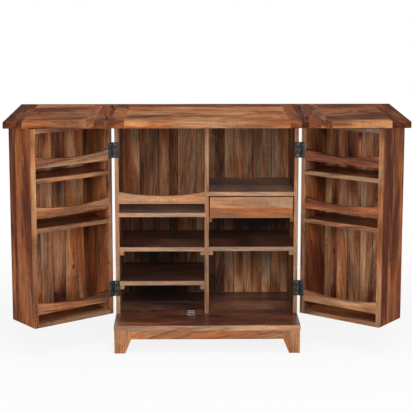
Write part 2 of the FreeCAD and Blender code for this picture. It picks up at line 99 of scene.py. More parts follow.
def add(tree, *numbers, clamp=False):
    """Numbers added up."""
    return maths(tree, "ADD", *numbers, clamp=clamp)


def minus(tree, *numbers, clamp=False):
    """The first number less the others."""
    return maths(tree, "SUBTRACT", *numbers, clamp=clamp)


def times(tree, *numbers):
    """Numbers multiplied."""
    return maths(tree, "MULTIPLY", *numbers)


def vectors(tree, operation, first, second):
    """The result of one sum on vectors."""
    return put(tree, "VectorMath", {0: first, 1: second}, operation=operation).outputs[0]


def scaled(tree, vector, factor):
    """A vector or a colour times a number."""
    return put(tree, "VectorMath", {0: vector, "Scale": factor}, operation="SCALE").outputs[0]


def length(tree, vector):
    """How long a vector is."""
    return put(tree, "VectorMath", {0: vector}, operation="LENGTH").outputs["Value"]


def combined(tree, first, second, third):
    """Three numbers made a vector."""
    return put(tree, "CombineXYZ", {0: first, 1: second, 2: third}).outputs[0]


def split(tree, vector):
    """The three numbers of a vector or a colour."""
    return put(tree, "SeparateXYZ", {0: vector}).outputs


def blend_colours(tree, amount, first, second):
    """Two colours mixed by an amount."""
    sockets = {0: amount, MIX_FIRST: first, MIX_SECOND: second}
    return put(tree, "Mix", sockets, data_type="RGBA").outputs[MIX_RESULT]


print("helpers for single nodes ready")

# %% Noise, ramps and groups
def noise(tree, place, stretch, detail=2.0, roughness=0.5):
    """Smooth noise about a half, as a value and a colour, stretched by a factor on each axis."""
    sockets = {"Vector": vectors(tree, "MULTIPLY", place, stretch), "Scale": 1.0, "Detail": detail,
               "Roughness": roughness}
    return put(tree, "TexNoise", sockets).outputs


def swing(tree, value, strength):
    """Noise turned into a swing about zero."""
    return times(tree, minus(tree, value, 0.5), strength)


def chance(tree, number):
    """A random value and a random colour for each number."""
    return put(tree, "TexWhiteNoise", {"W": number}, noise_dimensions="1D").outputs


def step(tree, value, low, high, at_low=0.0, at_high=1.0):
    """A smooth step: at_low below one value, at_high above the other."""
    sockets = {"Value": value, "From Min": low, "From Max": high, "To Min": at_low, "To Max": at_high}
    return put(tree, "MapRange", sockets, interpolation_type="SMOOTHSTEP").outputs[0]


def ramp(tree, value, stops, way="LINEAR"):
    """A colour ramp through (position, colour) stops, smooth or in hard steps."""
    node = put(tree, "ValToRGB", {0: value})
    node.color_ramp.interpolation = way
    elements = node.color_ramp.elements
    while len(elements) < len(stops):
        elements.new(1.0)
    while len(elements) > len(stops):
        elements.remove(elements[-1])
    for element, (position, colour) in zip(elements, stops):
        element.position = position
        element.color = (*colour, 1.0)
    return node.outputs[0]


def new_group(name, inputs, outputs):
    """An empty node group with named sockets, and its two end nodes."""
    tree = bpy.data.node_groups.new(name, "ShaderNodeTree")
    for title, kind in inputs:
        tree.interface.new_socket(title, in_out="INPUT", socket_type="NodeSocket" + kind)
    for title, kind in outputs:
        tree.interface.new_socket(title, in_out="OUTPUT", socket_type="NodeSocket" + kind)
    return tree, tree.nodes.new("NodeGroupInput").outputs, tree.nodes.new("NodeGroupOutput").inputs


def put_group(tree, group, sockets):
    """The outputs of one use of a node group."""
    return put(tree, "Group", sockets, node_tree=group).outputs


print("helpers for patterns ready")

# %% [markdown]
# ## The figure of the timber
# Sheesham is a rosewood: tan, orange and red-brown heartwood with dark bands and thin, almost black
# veins. A flat picture of grain would break at every edge, so the figure is solid: it is worked out
# from the distance to the heart of a log, which runs along the board's grain and near the cabinet's
# middle. That gives straight lines on one face, tall arches on another and arcs on the ends, and they
# all meet at the edges. A slow warp makes the log crooked, and a seed gives each board its own log.

# %% Where a point lies in its log
SEED_STEP = (7.31, 11.37, 5.17)  # how far one seed's noise lies from the next
WARP = (2.2, 9.0, 9.0)  # bends per metre along, across and through the grain
LOG_WANDER = 0.034  # how far the bends carry the rings
HEART_ASIDE = 0.12  # span of the places that the heart may have across the board
HEART_DEPTH = 0.010  # how deep it lies at least
HEART_DEEPER = 0.07  # and how much deeper at most
LEAN = 0.13  # span of the log's slopes across the board
DIVE = 6.5  # span of its slopes through the board, per metre of wander
DIVE_DRAW = 7.0  # takes a second draw from the digits of the first
KNOT_PUSH = 0.040  # how far a knot pushes the rings out


def heart_distance(tree, given, moved, luck):
    """How far a point lies from the heart of its log."""
    bends = vectors(tree, "SUBTRACT", noise(tree, moved, WARP, 3.0)["Color"], (0.5, 0.5, 0.5))
    stray = split(tree, scaled(tree, bends, given["Wander"]))
    lean = times(tree, swing(tree, luck[2], LEAN), given["Along"])
    side = add(tree, swing(tree, luck[0], HEART_ASIDE), lean, given["Across"], stray[1])
    draw = maths(tree, "FRACT", times(tree, luck[0], DIVE_DRAW))
    dive = times(tree, swing(tree, draw, DIVE), given["Wander"], given["Along"])
    deeper = times(tree, luck[1], HEART_DEEPER)
    depth = add(tree, deeper, HEART_DEPTH, dive, given["Through"], stray[2])
    squares = add(tree, maths(tree, "POWER", side, 2.0), maths(tree, "POWER", depth, 2.0))
    knot = times(tree, given["Knot"], KNOT_PUSH)
    return add(tree, maths(tree, "SQRT", squares), knot)


print("the heart lies", HEART_DEPTH, "to", round(HEART_DEPTH + HEART_DEEPER, 3), "m deep")

# %% [markdown]
# ## Bands, rings and veins
# Rolled out, a log is a flat sheet: one number says how far out a point is and another how far along.
# Noise that is stretched along the grain on that sheet makes the broad bands, the streaks, the fine
# lines and the veins. The growth rings are a sawtooth, because each one darkens slowly and ends at
# once. Bands could be placed by hand, but noise gives every board its own.

# %% How pale a point is
# Waves per metre along the grain and outwards, and how fast the seed changes them.
BANDS = (2.6, 1 / 0.058, 1.0)
STREAKS = (7.0, 1 / 0.010, 1.0)
LINES = (9.5, 1 / 0.0038, 1.0)
VEINS = (1.4, 1 / 0.016, 2.0)
DRIFT = (1.0, 14.0, 1.0)
LAYER_STEP = 3.7  # how far one seed's sheet lies from the next
BAND_EDGES = (0.40, 0.60)
BAND_SWING = 0.62  # how far a band moves the shade, before the contrast
STREAK_SWING = 1.4
LINE_SWING = 1.3
RING_WIDTH = 0.022  # from one growth ring's dark edge to the next
RING_DRIFT = 3.2  # and how many rings they stray
LATE_WOOD = (0.35, 1.0)  # the part of a ring that darkens
LATE_DARK = 0.5
EVEN_OUT = 0.10  # makes up for that darkening
VEIN_EDGE = 0.030  # a vein runs where its noise is this near to a half
VEIN_DARK = 0.5
KNOT_DARK = 0.45


def shade_of_figure(tree, given, ring):
    """How pale a point is, from 0 to 1."""
    layer = times(tree, given["Seed"], LAYER_STEP)
    sheet = combined(tree, given["Along"], ring, layer)
    bands = step(tree, noise(tree, sheet, BANDS, 3.0)[0], *BAND_EDGES, -BAND_SWING, BAND_SWING)
    streaks = swing(tree, noise(tree, sheet, STREAKS, 3.0, 0.6)[0], STREAK_SWING)
    lines = swing(tree, noise(tree, sheet, LINES, 2.0, 0.6)[0], LINE_SWING)

    drift = swing(tree, noise(tree, sheet, DRIFT)[0], RING_DRIFT)
    growth = add(tree, maths(tree, "DIVIDE", ring, RING_WIDTH), drift)
    loudness = chance(tree, add(tree, maths(tree, "FLOOR", growth), layer))["Value"]
    late_wood = step(tree, maths(tree, "FRACT", growth), *LATE_WOOD)
    late_wood = times(tree, late_wood, loudness, -LATE_DARK)

    figure = add(tree, bands, streaks, lines, late_wood, EVEN_OUT)
    shade = add(tree, times(tree, figure, given["Contrast"]), given["Shade"])
    from_middle = minus(tree, noise(tree, sheet, VEINS, 4.0, 0.7)[0], 0.5)
    vein = step(tree, maths(tree, "ABSOLUTE", from_middle), 0.0, VEIN_EDGE, 1.0, 0.0)
    vein = times(tree, vein, given["Veins"], VEIN_DARK)
    knot = times(tree, given["Knot"], KNOT_DARK)
    return minus(tree, shade, vein, knot, clamp=True)


print("growth rings:", RING_WIDTH, "m wide, bands:", round(1 / BANDS[1], 3), "m")

# %% [markdown]
# ## From shade to colour
# Dark sheesham is also redder and pale sheesham yellower, so a mix of two colours would look dyed.
# Instead the shade picks a colour from each of two palettes, a cool olive one and a warm red one, and a
# warmth blends the two. Fibres, slow clouds, ripples across the grain and open pores then make polished
# timber a little brighter or darker.

# %% Build the figure group
COOL_PALETTE = ((0.0, (0.026, 0.011, 0.007)), (0.3, (0.108, 0.048, 0.026)), (0.6, (0.268, 0.145, 0.080)),
                (0.8, (0.380, 0.225, 0.130)), (1.0, (0.530, 0.350, 0.225)))
WARM_PALETTE = ((0.0, (0.028, 0.007, 0.004)), (0.3, (0.120, 0.030, 0.012)), (0.6, (0.295, 0.090, 0.028)),
                (0.8, (0.425, 0.165, 0.054)), (1.0, (0.580, 0.300, 0.130)))
DARK_WARMTH = 0.60  # how much warmer timber is where it is darker than its board
CLOUD_WARMTH = 2.4
# Waves per metre along, across and through the grain.
CLOUDS = (4.0, 18.0, 18.0)
FIBRES = (28.0, 900.0, 900.0)
PORES = (60.0, 1500.0, 1500.0)
RIPPLES = (120.0, 16.0, 16.0)
# From one value of the noise to another, and the brightness at each.
CLOUD_GAIN = (0.28, 0.72, 0.70, 1.30)
FIBRE_GAIN = (0.25, 0.75, 0.80, 1.18)
RIPPLE_CLOUDS = (0.48, 0.62)  # the clouds that have ripples in them
RIPPLE_SWING = 0.7
PORE_EDGES = (0.60, 0.72)
PORE_DARK = 0.30
FIBRE_RELIEF = 0.4  # height of the fibres, where a pore is 1 deep


def make_wood_figure():
    """Colour, relief and pore mask of solid timber, from a place in the board."""
    numbers = "Along Across Through Seed Shade Contrast Warmth Veins Knot Wander".split()
    tree, given, result = new_group("wood_figure", [(name, "Float") for name in numbers],
                                    [("Color", "Color"), ("Height", "Float"), ("Pores", "Float")])
    place = combined(tree, given["Along"], given["Across"], given["Through"])
    moved = vectors(tree, "ADD", place, scaled(tree, SEED_STEP, given["Seed"]))
    luck = split(tree, chance(tree, given["Seed"])["Color"])
    shade = shade_of_figure(tree, given, heart_distance(tree, given, moved, luck))

    cloud = noise(tree, moved, CLOUDS, 4.0, 0.6)
    tints = split(tree, cloud["Color"])
    redder = times(tree, minus(tree, given["Shade"], shade), DARK_WARMTH)
    tint = swing(tree, tints[0], CLOUD_WARMTH)
    warmth = add(tree, given["Warmth"], redder, tint, clamp=True)
    palettes = [ramp(tree, shade, palette) for palette in (COOL_PALETTE, WARM_PALETTE)]
    colour = blend_colours(tree, warmth, *palettes)

    fibres = noise(tree, moved, FIBRES)[0]
    pores = step(tree, noise(tree, moved, PORES, 1.0)[0], *PORE_EDGES)
    ripple = swing(tree, noise(tree, moved, RIPPLES, 1.0)[0], RIPPLE_SWING)
    ripple = times(tree, ripple, step(tree, tints[2], *RIPPLE_CLOUDS))
    gains = [step(tree, cloud[0], *CLOUD_GAIN), step(tree, fibres, *FIBRE_GAIN),
             add(tree, ripple, 1.0), minus(tree, 1.0, times(tree, pores, PORE_DARK))]
    height = minus(tree, times(tree, fibres, FIBRE_RELIEF), pores)
    tree.links.new(scaled(tree, colour, times(tree, *gains)), result["Color"])
    tree.links.new(height, result["Height"])
    tree.links.new(pores, result["Pores"])
    return tree


WOOD_FIGURE = make_wood_figure()
print("figure group:", len(WOOD_FIGURE.nodes), "nodes")

# %% [markdown]
# ## Worn edges and knots
# Years of hands and dusters thin the lacquer along a board's arrises and leave them a little paler and
# duller. For a squared board an edge is where two of the three distances to its faces are small, so the
# middle one of the three distances is the distance to the nearest edge. A knot is a soft ball that
# pushes the rings aside and darkens its heart, and the same ball serves for a darker or paler patch,
# some of which are painted shade or painted light.

# %% Build the edge and knot groups
WEAR_PATCHES = (38.0, 38.0, 38.0)  # per metre
WEAR_REACH = (0.35, 0.75, 0.3, 2.4)  # from one noise value to another, and the wear's widths at each


def make_edge_wear():
    """A patchy mask along the edges of a squared board."""
    inputs = [("Place", "Vector"), ("Low", "Vector"), ("High", "Vector"), ("Width", "Float")]
    tree, given, result = new_group("edge_wear", inputs, [("Wear", "Float")])
    near = vectors(tree, "MINIMUM", vectors(tree, "SUBTRACT", given["Place"], given["Low"]),
                   vectors(tree, "SUBTRACT", given["High"], given["Place"]))
    gaps = split(tree, near)
    smaller = maths(tree, "MINIMUM", gaps[0], gaps[1])
    larger = maths(tree, "MAXIMUM", gaps[0], gaps[1])
    gap = maths(tree, "MAXIMUM", smaller, maths(tree, "MINIMUM", larger, gaps[2]))
    patches = noise(tree, given["Place"], WEAR_PATCHES, 3.0, 0.6)[0]
    reach = times(tree, given["Width"], step(tree, patches, *WEAR_REACH))
    wear = minus(tree, 1.0, maths(tree, "DIVIDE", gap, reach), clamp=True)
    tree.links.new(wear, result["Wear"])
    return tree


def make_knot():
    """A soft mask that falls off from a centre, over its own spread on each axis."""
    inputs = [("Place", "Vector"), ("Centre", "Vector"), ("Spread", "Vector")]
    tree, given, result = new_group("knot", inputs, [("Knot", "Float")])
    away = vectors(tree, "SUBTRACT", given["Place"], given["Centre"])
    away = length(tree, vectors(tree, "DIVIDE", away, given["Spread"]))
    tree.links.new(step(tree, away, 0.0, 1.0, 1.0, 0.0), result["Knot"])
    return tree


EDGE_WEAR = make_edge_wear()
KNOT = make_knot()
print("edge and knot groups:", len(EDGE_WEAR.nodes), len(KNOT.nodes), "nodes")

# %% [markdown]
# ## Where a board sits when the doors are shut
# The doors stand open at an angle, but their timber was cut square. Each door's finish is therefore
# laid out with the door shut: the place of a point is turned back about the hinge pin by a Mapping
# node, and the same turn gives the board's own low and high corners.

# %% Shut position of each board
DOOR_SHUT = {}
for joint in frame["joints"]:
    if joint["child"].endswith("_door"):
        turn = math.radians(joint["axis"][2] * joint["range_deg"][0])
        pin = Vector(joint["pos_m"])
        DOOR_SHUT[joint["child"]] = (turn, pin - Matrix.Rotation(turn, 3, "Z") @ pin)


def shut_turn(node):
    """Turn about Z and shift that bring a node's points to their shut position."""
    for body, (turn, shift) in DOOR_SHUT.items():
        if node in frame["record"]["behaviour"]["bodies"][body]:
            return turn, shift
    return 0.0, Vector((0.0, 0.0, 0.0))


def shut_matrix(turn, shift):
    """That turn and shift as one matrix."""
    return Matrix.Translation(shift) @ Matrix.Rotation(turn, 4, "Z")


def shut_box(node):
    """Low and high corners of a node in its shut position."""
    matrix = shut_matrix(*shut_turn(node))
    points = [matrix @ vertex.co for vertex in NODES[node].data.vertices]
    low = Vector([min(point[axis] for point in points) for axis in range(3)])
    high = Vector([max(point[axis] for point in points) for axis in range(3)])
    return low, high


for body, (turn, shift) in DOOR_SHUT.items():
    print(body, "is laid out", round(math.degrees(turn)), "degrees back")

# %% [markdown]
# ## One timber finish for every board
# A tone is a shade on the palettes, a contrast of the figure and a warmth, from olive to red. A panel is
# glued up from several boards, so a finish takes a list of boards, each with the fraction of the
# panel's width at which it starts and its tone. One colour ramp with hard steps turns a fraction into
# a tone, and another into a seed, so two neighbours of one tone are still two boards. Planks that only
# stand side by side also get a dark line in the joint. Each board could have a material of its own, but
# a list in one finish is quicker to retune.

# %% Tones
TONES = {
    "honey": (0.69, 0.20, 0.75),
    "amber": (0.57, 0.22, 0.75),
    "rust": (0.47, 0.24, 0.97),
    "tan": (0.57, 0.22, 0.38),
    "pale": (0.74, 0.14, 0.14),
    "sand": (0.66, 0.13, 0.05),
    "straw": (0.74, 0.16, 0.35),
    "tawny": (0.80, 0.24, 0.50),
    "hazel": (0.60, 0.26, 0.60),
    "walnut": (0.48, 0.25, 0.60),
    # partly the shelves' own grey, partly a painted reflection of their lacquer's sheen
    "ash_and_sheen": (0.54, 0.22, 0.00),
    "orange": (0.65, 0.24, 0.66),
    "brindle": (0.70, 0.27, 0.62),
    "russet": (0.41, 0.27, 0.88),
    "garnet": (0.34, 0.20, 0.90),
    "plum": (0.26, 0.22, 0.85),
    "umber": (0.40, 0.32, 0.55),
    "dusk": (0.29, 0.20, 0.50),
}


def draw_board(tree, fraction, boards, seed):
    """Tone and seed of the board that lies at a fraction of the panel's width."""
    tones = ramp(tree, fraction, [(start, TONES[tone]) for start, tone in boards], "CONSTANT")
    shares = [(start, (index / len(boards),) * 3) for index, (start, tone) in enumerate(boards)]
    own_seed = add(tree, ramp(tree, fraction, shares, "CONSTANT"), float(seed))
    return split(tree, tones), own_seed


def mark_mask(tree, spot, low, high, ways, mark, face=None):
    """Mask of a knot or patch: (fraction across, fraction along, half width, half length).

    It goes right through the board, or fades out from the low face, 0, or from the high face, 1.
    """
    along, across, through = ways
    centre, spread = (low + high) / 2, Vector((1.0, 1.0, 1.0))
    spans = [(across, mark[0], mark[2]), (along, mark[1], mark[3])]
    if face is not None:
        spans.append((through, face, high[through] - low[through]))
    for way, fraction, half in spans:
        centre[way] = low[way] + fraction * (high[way] - low[way])
        spread[way] = half
    return put_group(tree, KNOT, {"Place": spot, "Centre": centre, "Spread": spread})[0]


def finish_nodes(finish, *nodes):
    """Give one finish to several nodes."""
    for node in nodes:
        for slot in NODES[node].material_slots:
            slot.material = finish


print("tones:", len(TONES))

# %% The timber finish
WORN_EDGE = (0.50, 0.31, 0.18, 1.0)
WORN_WIDTH = 0.0016
WORN_SHARE = 0.30  # how much of the worn colour shows
WORN_ROUGH = 0.15  # what wear and pores add to the roughness
PORE_ROUGH = 0.18
PORE_DEPTH = 0.00022
PORE_BUMP = 0.5
JOINT_LINE = 0.0028  # from the middle of a joint to where its shadow ends
JOINT_SHARE = 0.90
JOINT_SHADE = (0.020, 0.010, 0.006, 1.0)
HAZE_ROUGH = 0.35


def timber(node, axes, boards, seed, rough=0.46, gloss=0.15, veins=0.45, lively=1.0, wander=LOG_WANDER,
           haze=0.0, joints=0, knots=(), patches=(), patch_face=None, patch_warmth=0.0):
    """A sheesham finish for one node. axes names the ways along, across and through the grain.

    lively raises the contrast of each board's figure, wander makes its log crooked, and haze is a bloom of
    wax at low angles. joints counts equal planks side by side. knots and patches are marks as in
    mark_mask, and a patch has a darkness too, below zero for a paler patch. Some patches are timber
    colour, and some are painted shade or painted light. patch_face is the face that patches fade from,
    and patch_warmth makes dark ones redder; below zero it makes them cooler.
    """
    finish = bpy.data.materials.new(node + "_timber")
    tree = cleared(finish)
    turn, shift = shut_turn(node)
    low, high = shut_box(node)
    spot = put(tree, "TexCoord").outputs["Object"]
    spot = put(tree, "Mapping", {"Vector": spot, "Location": shift, "Rotation": (0, 0, turn)}).outputs[0]
    ways = ["xyz".index(axis) for axis in axes]
    parts = split(tree, spot)
    along, across, through = (parts[way] for way in ways)
    start, width = low[ways[1]], high[ways[1]] - low[ways[1]]
    from_start = minus(tree, across, start)
    fraction = maths(tree, "DIVIDE", from_start, width, clamp=True)

    tone, board_seed = draw_board(tree, fraction, boards, seed)
    knot, shade, warmth = 0.0, tone[0], tone[2]
    for mark in knots:
        knot = maths(tree, "MAXIMUM", knot, mark_mask(tree, spot, low, high, ways, mark))
    for *mark, darkness in patches:
        mask = mark_mask(tree, spot, low, high, ways, mark, patch_face)
        shade = minus(tree, shade, times(tree, mask, darkness))
        warmth = add(tree, warmth, times(tree, mask, darkness * patch_warmth))
    figure = put_group(tree, WOOD_FIGURE, {
        "Along": along, "Across": across, "Through": through, "Seed": board_seed, "Shade": shade,
        "Contrast": times(tree, tone[1], lively), "Warmth": warmth, "Veins": veins,
        "Knot": knot, "Wander": wander})

    wear = put_group(tree, EDGE_WEAR, {"Place": spot, "Low": low, "High": high, "Width": WORN_WIDTH})[0]
    colour = blend_colours(tree, times(tree, wear, WORN_SHARE), figure["Color"], WORN_EDGE)
    if joints:
        gap = maths(tree, "PINGPONG", from_start, width / joints / 2)
        line = step(tree, gap, 0.0, JOINT_LINE, JOINT_SHARE, 0.0)
        colour = blend_colours(tree, line, colour, JOINT_SHADE)
    in_pores = times(tree, figure["Pores"], PORE_ROUGH)
    roughness = add(tree, in_pores, rough, times(tree, wear, WORN_ROUGH))
    bump = put(tree, "Bump", {"Height": figure["Height"], "Distance": PORE_DEPTH, "Strength": PORE_BUMP})
    surface = put(tree, "BsdfPrincipled", {
        "Base Color": colour, "Roughness": roughness, "Normal": bump.outputs[0],
        "Specular IOR Level": gloss, "Sheen Weight": haze, "Sheen Roughness": HAZE_ROUGH})
    put(tree, "OutputMaterial", {"Surface": surface.outputs[0]})
    finish_nodes(finish, node)


print("a worn edge is about", WORN_WIDTH, "m wide")

# %% [markdown]
# ## The base
# The base board is the most polished surface, because bottles are slid over it. Its front edge shows
# paler sapwood. The legs are short blocks with upright grain. Two of them make one node, so a change of
# tone half way across gives each leg its own.

# %% Timber of the base
QUIET = 0.6  # contrast of small pieces, picked for their even grain
BASE_BOARDS = [(0.0, "pale"), (0.010, "russet"), (0.20, "plum"), (0.45, "umber"), (0.70, "dusk")]
# Painted shade: a patch darkens the base board on the floor of the low left bay.
BASE_PAINTED_SHADE = [(0.62, 0.27, 0.14, 0.24, 0.30)]
timber("base_board", "xyz", BASE_BOARDS, seed=3, rough=0.28, gloss=0.30, haze=0.04, patches=BASE_PAINTED_SHADE)
timber("aprons_long", "xzy", [(0.0, "brindle")], seed=5, lively=QUIET)
timber("aprons_side", "yzx", [(0.0, "orange")], seed=7, lively=QUIET)
timber("legs_front", "zxy", [(0.0, "honey"), (0.5, "orange")], seed=9, lively=QUIET)
timber("legs_back", "zxy", [(0.0, "orange"), (0.5, "tan")], seed=11, lively=QUIET)
print("base finished")

# %% [markdown]
# ## The carcass
# The sides, divider and shelves are panels glued up from narrow boards, with a pale strip of sapwood
# along the front edge. The back is nine planks that stand side by side, mixed light and dark as they
# came. A plank is seldom one colour right across, so each half of a plank has its own tone. Patches of
# painted shade darken the back low in the left bays and in the bay under the drawer.

# %% Timber of the carcass
EDGE_STRIP = 0.025  # share of a panel's depth
timber("side_panel_left", "zyx", [(0.0, "pale"), (EDGE_STRIP, "umber"), (0.4, "russet"), (0.7, "umber")],
       seed=13)
timber("side_panel_right", "zyx", [(0.0, "sand"), (EDGE_STRIP, "plum"), (0.35, "umber"), (0.75, "russet")],
       seed=15)
timber("divider", "zyx", [(0.0, "sand"), (EDGE_STRIP, "umber"), (0.5, "russet")], seed=17)
BACK_PLANKS = 9
BACK_TONES = ("brindle", "brindle", "walnut", "walnut", "tawny", "hazel", "tawny", "brindle", "tawny",
              "umber", "walnut", "tawny", "tawny", "brindle", "tawny", "tawny", "brindle", "brindle")
# Painted shade: patches darken the back, and make it cooler, low in the left bays and in the bay under the drawer.
BACK_PAINTED_SHADE = [(0.20, 0.13, 0.50, 0.42, 0.45), (0.76, 0.41, 0.30, 0.12, 0.90),
                (0.22, 0.02, 0.26, 0.10, 0.50)]
timber("back_planks", "zxy", [(i / len(BACK_TONES), tone) for i, tone in enumerate(BACK_TONES)], seed=19,
       lively=1.1, wander=0.012, joints=BACK_PLANKS, patches=BACK_PAINTED_SHADE, patch_face=0,
       patch_warmth=-0.8)
# The upper shelves' grey tone is partly their timber and partly a painted reflection of the sheen on their
# lacquer.
for number, name in enumerate(("left_upper", "left_middle", "left_lower", "right_upper", "right_lower")):
    housed = name.endswith("_upper")
    first = "ash_and_sheen" if housed else "dusk"
    boards = [(0.0, "sand"), (EDGE_STRIP, first), (0.45, "dusk"), (0.8, first)]
    timber("shelf_" + name, "xyz", boards, seed=21 + number, rough=0.42, gloss=0.6,
           haze=0.06 if housed else 0.01)
timber("bottle_rail", "xzy", [(0.0, "straw")], seed=27, veins=0.2)
timber("cleats", "yxz", [(0.0, "sand")], seed=29)
timber("drawer_runners", "yxz", [(0.0, "tan")], seed=30)
print("carcass finished")

# %% [markdown]
# ## The top
# Each of the three slabs has a core with the grain running left to right, glued up from four or five
# boards, and an end board across each end that keeps it flat. The top is oiled, not lacquered, so it is
# duller than the rest, and its timber is straighter.

# %% Timber of the top
OILED = {"gloss": 0.02, "rough": 0.70}
TOP_WANDER = 0.018
TOP_BOARDS = {
    "top_core": [(0.0, "orange"), (0.36, "orange"), (0.58, "honey"), (0.82, "rust")],
    "left_leaf_core": [(0.0, "amber"), (0.28, "walnut"), (0.55, "russet"), (0.78, "orange")],
    "right_leaf_core": [(0.0, "hazel"), (0.09, "dusk"), (0.30, "umber"), (0.50, "hazel"), (0.80, "russet")],
}
TOP_KNOTS = {
    "left_leaf_core": [(0.03, 0.15, 0.012, 0.016), (0.03, 0.52, 0.010, 0.014)],
    "right_leaf_core": [(0.01, 0.06, 0.010, 0.014), (0.30, 0.45, 0.020, 0.080)],
}
END_BOARDS = {
    "top_end_left": [(0.0, "garnet"), (0.25, "rust")],
    "top_end_right": [(0.0, "garnet"), (0.60, "plum")],
    "left_leaf_inner_end": [(0.0, "hazel"), (0.42, "garnet")],
    "left_leaf_outer_end": [(0.0, "plum"), (0.70, "garnet")],
    "right_leaf_inner_end": [(0.0, "plum"), (0.60, "umber")],
    "right_leaf_outer_end": [(0.0, "plum")],
}
for number, (node, boards) in enumerate(TOP_BOARDS.items()):
    timber(node, "xyz", boards, seed=31 + 2 * number, wander=TOP_WANDER, knots=TOP_KNOTS.get(node, ()),
           **OILED)
for number, (node, boards) in enumerate(END_BOARDS.items()):
    timber(node, "yxz", boards, seed=37 + number, lively=0.9, **OILED)
print("top finished")

# %% [markdown]
# ## The doors
# Each door is a deep box. Its back is six upright planks of very different colour, its stiles and
# boards are cut from mixed heartwood, and the curved rails are of quiet timber. The two doors are the
# same joinery, so one loop finishes both, from tables that hold what differs. Two pale patches high on
# the left door's planks are painted light.

# %% Timber of the doors
DOOR_SEEDS = {"left": 50, "right": 70}
DOOR_PLANKS = 6
PLANKS = {
    "left": [(0.0, "plum"), (0.08, "honey"), (0.333, "walnut"), (0.50, "tawny"), (0.667, "hazel")],
    "right": [(0.0, "walnut"), (0.167, "walnut"), (0.42, "straw"), (0.50, "orange"), (0.667, "honey"),
              (0.80, "rust"), (0.885, "straw"), (0.965, "garnet")],
}
PLANK_KNOTS = {
    "left": [(0.37, 0.075, 0.012, 0.018), (0.48, 0.085, 0.010, 0.016), (0.23, 0.22, 0.009, 0.016)],
    "right": [(0.945, 0.35, 0.010, 0.028), (0.84, 0.30, 0.009, 0.022), (0.52, 0.94, 0.020, 0.040)],
}
# The darker patches are redder timber, and the pale streak on the right door is timber too. The two paler patches
# high on the left door, near the hinge, are painted light where the top's shade falls.
PLANK_MARKS_AND_PAINTED_LIGHT = {
    "left": [(0.417, 0.80, 0.045, 0.38, 0.46), (0.23, 0.84, 0.040, 0.34, -0.14),
             (0.60, 0.84, 0.05, 0.36, 0.26), (0.04, 0.84, 0.050, 0.36, -0.16),
             (0.40, 0.05, 0.10, 0.12, 0.14)],
    "right": [(0.62, 0.84, 0.060, 0.30, 0.52), (0.80, 0.84, 0.050, 0.30, 0.18),
              (0.27, 0.70, 0.030, 0.34, 0.12), (0.60, 0.04, 0.15, 0.10, 0.12),
              (0.93, 0.45, 0.030, 0.40, -0.14)],
}
HINGE_STILES = {"left": "amber", "right": "rust"}
FREE_STILES = {
    "left": [(0.0, "rust"), (0.18, "russet"), (0.28, "rust"), (0.93, "hazel")],
    "right": [(0.0, "russet"), (0.15, "garnet"), (0.50, "russet"), (0.65, "garnet"), (0.93, "hazel")],
}
RAILS = {"left": ("tan", "hazel", "walnut"), "right": ("garnet", "rust", "orange")}
for side, seed in DOOR_SEEDS.items():
    door = side + "_door_"
    timber(door + "planks", "zxy", PLANKS[side], seed, lively=1.25, joints=DOOR_PLANKS,
           knots=PLANK_KNOTS[side], patches=PLANK_MARKS_AND_PAINTED_LIGHT[side], patch_face=1, patch_warmth=1.2)
    timber(door + "hinge_stile", "zyx", [(0.0, HINGE_STILES[side]), (0.9, "tan")], seed + 1)
    timber(door + "free_stile", "zyx", FREE_STILES[side], seed + 2, gloss=0.05, rough=0.6)
    timber(door + "top_board", "xyz", [(0.0, "russet"), (0.8, "tan")], seed + 3)
    timber(door + "bottom_board", "xyz", [(0.0, "russet"), (0.8, "tan")], seed + 4)
    timber(door + "shelves", "xyz", [(0.0, "umber"), (0.5, "russet"), (0.93, "tan")], seed + 5)
    for number, rail in enumerate(("rail_upper", "rail_middle", "rail_lower")):
        timber(door + rail, "xzy", [(0.0, RAILS[side][number])], seed + 6 + number, lively=1.1)
print("doors finished")

# %% [markdown]
# ## The drawer
# The drawer's front is a pale, straight board. The rest is plain tan stock, which shows only when the
# drawer is pulled, so it shares one tone.

# %% Timber of the drawer
timber("drawer_front", "xzy", [(0.0, "honey"), (0.48, "straw")], seed=88, lively=0.8, wander=0.022,
       veins=0.2)
timber("drawer_sides", "yzx", [(0.0, "tan")], seed=93)
timber("drawer_back", "xzy", [(0.0, "tan")], seed=94)
timber("drawer_bottom", "xyz", [(0.0, "tan")], seed=95)
print("drawer finished")

# %% [markdown]
# ## Iron, steel and the catches
# The butt hinges and knobs are blackened iron, rubbed back to bare metal in places. The magnetic catch
# is a dark case with two bright steel poles, and a dull zinc plate on the door meets it. All are one
# network: patches of noise rub the finish through, and fine noise scratches it.

# %% Metal finishes
RUB_PATCHES = (160.0, 160.0, 60.0)  # per metre on X, Y and Z
RUB_EDGES = (0.50, 0.68)
SCRATCHES = (900.0, 900.0, 120.0)
SCRATCH_EDGES = (0.3, 0.7)
SMOOTHER, ROUGHER = 0.08, 0.10  # how far the scratches change the roughness
SCRATCH_DEPTH = 0.00008
SCRATCH_BUMP = 0.35


def metal(name, colour, worn_colour, wear, rough, edge=1.0):
    """A metal whose finish is rubbed through in patches. edge dims its gloss at a low angle."""
    finish = bpy.data.materials.new(name)
    tree = cleared(finish)
    spot = put(tree, "TexCoord").outputs["Object"]
    patches = noise(tree, spot, RUB_PATCHES, 4.0, 0.65)[0]
    scratches = noise(tree, spot, SCRATCHES)[0]
    rubbed = times(tree, step(tree, patches, *RUB_EDGES), wear)
    colour = blend_colours(tree, rubbed, (*colour, 1.0), (*worn_colour, 1.0))
    roughness = step(tree, scratches, *SCRATCH_EDGES, rough - SMOOTHER, rough + ROUGHER)
    bump = put(tree, "Bump", {"Height": scratches, "Distance": SCRATCH_DEPTH, "Strength": SCRATCH_BUMP})
    surface = put(tree, "BsdfPrincipled", {
        "Base Color": colour, "Roughness": roughness, "Normal": bump.outputs[0], "Metallic": 1.0,
        "Specular Tint": (edge, edge, edge, 1.0)})
    put(tree, "OutputMaterial", {"Surface": surface.outputs[0]})
    return finish


